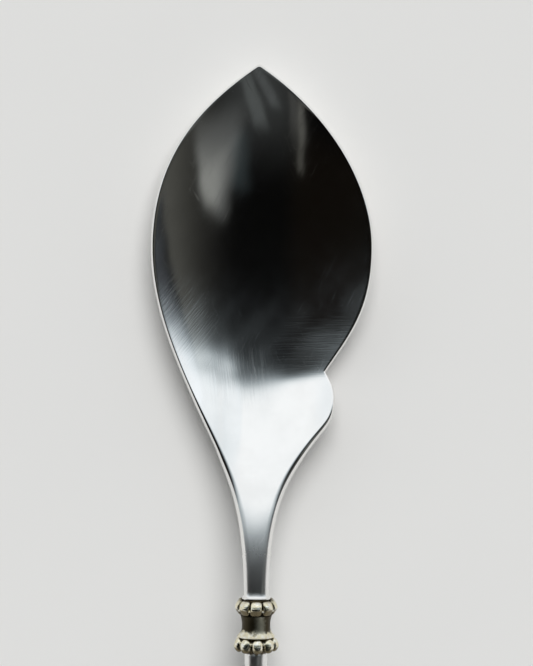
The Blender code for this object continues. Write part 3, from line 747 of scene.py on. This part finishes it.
def makeSpool():
    end = spool["length"]
    bore = spool["bore"]
    waist = spool["waist"]
    lip = spool["lip"]
    edge = spool["lipEdge"]
    inset = bevelMiddle * edge
    share = np.linspace(0, 1, spool["steps"])
    crown = zip(blend(waist, spool["top"], (1 - share) ** 2), spool["crownRun"] * share)
    flare = zip(blend(waist, lip, share ** 2), end - spool["flareRun"] * (1 - share) - edge)
    profile = [(bore, 0.0), (spool["top"] - spool["topEdge"], 0.0)] + list(crown)[1:] + list(flare)
    profile += [(lip - inset, end - inset), (lip - edge, end), (bore, end)]
    place = alongHandle(spoolAt)
    mesh = turnedMesh("waistedSpool", place, profile, spool["columns"])
    addPiece(mesh, gilt("spoolGilt", place, spool["finish"]), "spool")


# stem, end ring and finial

stem = {
    "length": 67.0, "turn": 6.0, "root": 2.1, "waist": 1.8, "end": 2.2, "edge": 0.12,
    "bore": 1.3, "boreDepth": 7.1, "studBore": 1.2, "studDepth": 5.1,
    "rows": 90, "columns": 56,
}


def stemFrame(share):
    # the stem bends gently upwards along a circle's arc
    angle = math.radians(stem["turn"]) * share
    bend = stem["length"] / math.radians(stem["turn"])
    shift = Vector((0.0, bend * (1 - math.cos(angle)), stemAt + bend * math.sin(angle))) * mm
    return seat @ Matrix.Translation(shift) @ Matrix.Rotation(-angle, 4, "X")


def makeStem():
    # profile: radius, and place along the stem as a share of its length
    length = stem["length"]
    edge = stem["edge"]
    around = roundSteps(stem["columns"])
    profile = [(stem["bore"], stem["boreDepth"] / length), (stem["bore"], 0.0),
               (stem["root"] - edge, 0.0)]
    for share in np.linspace(edge / length, 1 - edge / length, stem["rows"]):
        nearEnd = stem["root"] if share < 0.5 else stem["end"]
        profile.append((blend(stem["waist"], nearEnd, (2 * share - 1) ** 2), share))
    profile += [(stem["end"] - edge, 1.0), (stem["studBore"], 1.0),
                (stem["studBore"], 1 - stem["studDepth"] / length)]
    build = bmesh.new()
    rows = joinRows(build, [ringAt(stemFrame(share), around, radius, 0.0) for radius, share in profile])
    build.faces.new(rows[0])
    build.faces.new(rows[-1])
    addPiece(finishMesh("silverStem", build), silver("stemSilver"), "stem")


endRing = {"length": 1.6, "radius": 2.9, "bore": 1.2, "steps": 25, "columns": 72}
finial = {
    "length": 9.0, "base": 2.1, "baseSpread": 1.3, "widest": 3.32, "bulge": 3.4, "blunt": 0.45,
    "stud": 1.1, "studLength": 5.0, "steps": 32, "columns": 72,
    "finish": {"roughness": 0.26, "cloudy": 0.25, "patinaAndShade": olivePatinaAndShade},
}


def makeEndRing(ringGilt):
    half = endRing["length"] / 2
    middle = handle["solder"] + half
    bore = endRing["bore"]
    turn = np.linspace(0, math.pi, endRing["steps"])
    arc = zip(endRing["radius"] - half + half * np.sin(turn), middle - half * np.cos(turn))
    profile = [(bore, middle - half)] + list(arc) + [(bore, middle + half)]
    mesh = turnedMesh("endRing", stemFrame(1.0), profile, endRing["columns"])
    addPiece(mesh, ringGilt, "end_collar")


def makeFinial():
    base = finial["base"]
    widest = finial["widest"]
    stud = finial["stud"]
    start = 2 * handle["solder"] + endRing["length"]
    widestAt = start + finial["bulge"]
    end = start + finial["length"]
    lower = cubic(((base, start), (finial["baseSpread"] * base, start),
                   (widest, start + finial["bulge"] / 2), (widest, widestAt)), finial["steps"])
    upper = cubic(((widest, widestAt), (widest, (widestAt + end) / 2),
                   (finial["blunt"] * widest, end), (0.0, end)), finial["steps"])
    profile = [(0.0, -finial["studLength"]), (stud, -finial["studLength"]), (stud, start)]
    profile += [tuple(point) for point in np.concatenate([lower, upper[1:]])]
    place = stemFrame(1.0)
    mesh = turnedMesh("budFinial", place, profile, finial["columns"])
    addPiece(mesh, gilt("finialGilt", place, finial["finish"]), "finial")


makeForging()
print("forging made")
sharedRingGilt = gilt("ringGilt", seat, collarRing["finish"])
makeCollar(upperCollar, alongHandle(upperCollarAt), sharedRingGilt)
makeSpool()
makeCollar(lowerCollar, alongHandle(lowerCollarAt), sharedRingGilt)
makeStem()
makeEndRing(sharedRingGilt)
makeFinial()
print("handle made")


# floor, studio light and camera

studio = {
    "sunFrom": (0.25, 0.9, 1.5), "sunStrength": 2.2, "sunAngle": 45.0,
    "dark": (0.002, 0.002, 0.0019),
    "horizon": (0.76, 0.755, 0.74, 1.0), "horizonTop": 0.42, "horizonFull": 0.18,
    "lowestRise": 0.03,      # keeps places in the cards' plane finite near the horizon
}

# cards hang in a plane one metre above the spoon: across to the right, ahead towards the tip, in metres.
# each side is the start and the end of its soft edge; lean shifts the two with the other coordinate
cards = {
    "sky": {
        "left": (-6.0, -4.0), "right": (6.0, 4.0), "near": (0.135, 0.63), "far": (8.0, 4.0),
        "lean": {"near": 0.2}, "hinge": 0.8, "colour": (0.56, 0.65, 0.70)},
    "window": {
        "left": (-6.0, -4.0), "right": (6.0, 4.0), "near": (0.32, 0.78), "far": (8.0, 4.0),
        "lean": {"near": 0.2}, "hinge": 0.8, "colour": (0.36, 0.315, 0.30)},
    "windowMiddle": {
        "left": (-1.05, -0.75), "right": (0.6, 0.25), "near": (0.32, 0.72), "far": (8.0, 4.0),
        "colour": (0.075, 0.055, 0.04)},
    "wall": {
        "left": (0.2, 1.9), "right": (1.40, 1.33), "near": (-1.4, -0.9), "far": (1.0, 0.5),
        "lean": {"right": -0.2}, "colour": (0.095, 0.095, 0.085)},
    "blueSide": {
        "left": (1.33, 1.62), "right": (4.0, 2.5), "near": (-1.2, -0.6), "far": (2.0, 0.8),
        "colour": (0.064, 0.071, 0.081)},
    "warmSide": {
        "left": (-2.2, -1.2), "right": (-0.2, -0.5), "near": (-0.7, -0.3), "far": (0.8, 0.4),
        "colour": (0.0022, 0.0013, 0.0005)},
    "lamp": {
        "left": (0.42, 0.60), "right": (0.69, 0.565), "near": (-0.52, -0.20), "far": (0.07, -0.05),
        "lean": {"left": 0.42, "right": -0.27, "far": -0.22}, "colour": (0.095, 0.096, 0.088)},
    "lampTail": {
        "left": (0.29, 0.49), "right": (0.74, 0.555), "near": (-0.90, -0.20), "far": (0.07, -0.05),
        "lean": {"left": 0.32, "right": -0.27, "far": -0.22}, "colour": (0.131, 0.137, 0.135)},
    "lampGlow": {
        "left": (0.03, 0.20), "right": (0.35, 0.24), "near": (-0.62, -0.45), "far": (-0.15, -0.22),
        "colour": (0.019, 0.025, 0.027)},
    "strip": {
        "left": (-0.484, -0.459), "right": (-0.384, -0.409), "near": (-0.95, -0.75), "far": (-0.26, -0.31),
        "lean": {"left": 0.105, "right": 0.105}, "colour": (0.054, 0.054, 0.048)},
    "stripTop": {
        "left": (-0.56, -0.51), "right": (-0.34, -0.39), "near": (-1.4, -1.0), "far": (-0.32, -0.72),
        "colour": (0.036, 0.036, 0.034)},
    "backStreak": {
        "left": (-0.33, -0.28), "right": (-0.12, -0.18), "near": (-1.5, -1.0), "far": (-0.50, -0.64),
        "lean": {"left": -0.36, "right": -0.36}, "colour": (0.05, 0.055, 0.055)},
    "backSliver": {
        "left": (-0.67, -0.61), "right": (-0.49, -0.54), "near": (-2.0, -1.5), "far": (-0.70, -0.82),
        "lean": {"left": -0.5, "right": -0.5}, "colour": (0.045, 0.049, 0.05)},
    "backCard": {
        "left": (-0.6, -0.2), "right": (0.7, 0.2), "near": (-2.4, -1.6), "far": (-0.14, -0.85),
        "colour": (0.028, 0.03, 0.03)},
}


def cardMask(tree, card, across, ahead):
    # the near and far sides may lean only beyond a hinge
    other = across
    if "hinge" in card:
        other = calc(tree, "MAXIMUM", calc(tree, "SUBTRACT", across, card["hinge"]), 0.0)
    mask = None
    for side, value, leaning in (("left", across, ahead), ("right", across, ahead),
                                 ("near", ahead, other), ("far", ahead, other)):
        lean = card.get("lean", {}).get(side)
        if lean:
            value = calc(tree, "MULTIPLY_ADD", leaning, -lean, value)
        edge = ramp(tree, value, *card[side])
        mask = calc(tree, "MULTIPLY", mask, edge) if mask else edge
    return mask


def makeWorld():
    world = bpy.data.worlds.new("studio")
    bpy.context.scene.world = world
    world.use_nodes = True
    tree = world.node_tree
    tree.nodes.clear()
    direction = tree.nodes.new("ShaderNodeTexCoord").outputs["Generated"]
    part = addNode(tree, "ShaderNodeSeparateXYZ", Vector=direction)
    rise = calc(tree, "MAXIMUM", part.outputs["Z"], studio["lowestRise"])
    across = calc(tree, "DIVIDE", part.outputs["X"], rise)
    ahead = calc(tree, "DIVIDE", part.outputs["Y"], rise)
    low = ramp(tree, part.outputs["Z"], studio["horizonTop"], studio["horizonFull"])
    light = studio["dark"]
    for name, card in cards.items():
        glow = vectorCalc(tree, "SCALE", card["colour"], cardMask(tree, card, across, ahead))
        glow.node.label = name
        light = vectorCalc(tree, "ADD", light, glow)
    colour = mixColour(tree, low, light, studio["horizon"])
    background = addNode(tree, "ShaderNodeBackground", Color=colour, Strength=1.0)
    output = tree.nodes.new("ShaderNodeOutputWorld")
    tree.links.new(background.outputs[0], output.inputs["Surface"])


paleFloor = {
    "half": 6.0, "colour": (0.80, 0.79, 0.77, 1.0), "toned": (0.78, 0.77, 0.755, 1.0),
    "roughness": 0.9, "specular": 0.1,
    "cloudNoise": (0.02, 4.0),       # scale per mm and detail
}


def makeFloor():
    material, tree = newTree("paleFloor")
    shader = tree.nodes["Principled BSDF"]
    shader.inputs["Roughness"].default_value = paleFloor["roughness"]
    shader.inputs["Specular IOR Level"].default_value = paleFloor["specular"]
    cloud = noise(tree, millimetres(tree), *paleFloor["cloudNoise"])
    colour = mixColour(tree, cloud, paleFloor["colour"], paleFloor["toned"])
    plug(tree, colour, shader.inputs["Base Color"])
    half = paleFloor["half"]
    corners = [(-half, -half, 0), (half, -half, 0), (half, half, 0), (-half, half, 0)]
    mesh = bpy.data.meshes.new("floor")
    mesh.from_pydata(corners, [], [(0, 1, 2, 3)])
    mesh.materials.append(material)
    floor = bpy.data.objects.new("floor", mesh)
    bpy.context.scene.collection.objects.link(floor)


def makeSun():
    data = bpy.data.lights.new("softSun", "SUN")
    data.energy = studio["sunStrength"]
    data.angle = math.radians(studio["sunAngle"])
    sun = bpy.data.objects.new("softSun", data)
    sun.rotation_euler = (-Vector(studio["sunFrom"])).to_track_quat("-Z", "Y").to_euler()
    sun.visible_glossy = False         # the metal mirrors the cards of the world instead
    bpy.context.scene.collection.objects.link(sun)


view = {
    "distance": 1.1, "clipStart": 0.01, "clipEnd": 100.0,          # metres
    "pixelsPerMm": 5.45, "imageHeight": 666, "sensor": 36.0,
    "acrossFromAxis": 1.6, "alongFromFoot": 48.6,     # what the middle of the picture looks at, mm
    "rimHeight": 7.5,        # the scale holds at this height, mm
    "roll": 0.0057,          # radians
}


def makeCamera():
    data = bpy.data.cameras.new("camera")
    span = view["imageHeight"] / view["pixelsPerMm"] * mm
    data.sensor_width = view["sensor"]
    data.lens = view["sensor"] * (view["distance"] - view["rimHeight"] * mm) / span
    data.clip_start = view["clipStart"]
    data.clip_end = view["clipEnd"]
    camera = bpy.data.objects.new("camera", data)
    camera.location = (seat.translation.x + view["acrossFromAxis"] * mm,
                       seat.translation.y + view["alongFromFoot"] * mm, view["distance"])
    camera.rotation_euler = (0.0, 0.0, view["roll"])
    bpy.context.scene.collection.objects.link(camera)
    bpy.context.scene.camera = camera


makeWorld()
makeFloor()
makeSun()
makeCamera()
bpy.context.scene.view_settings.view_transform = "Standard"
print("studio made")
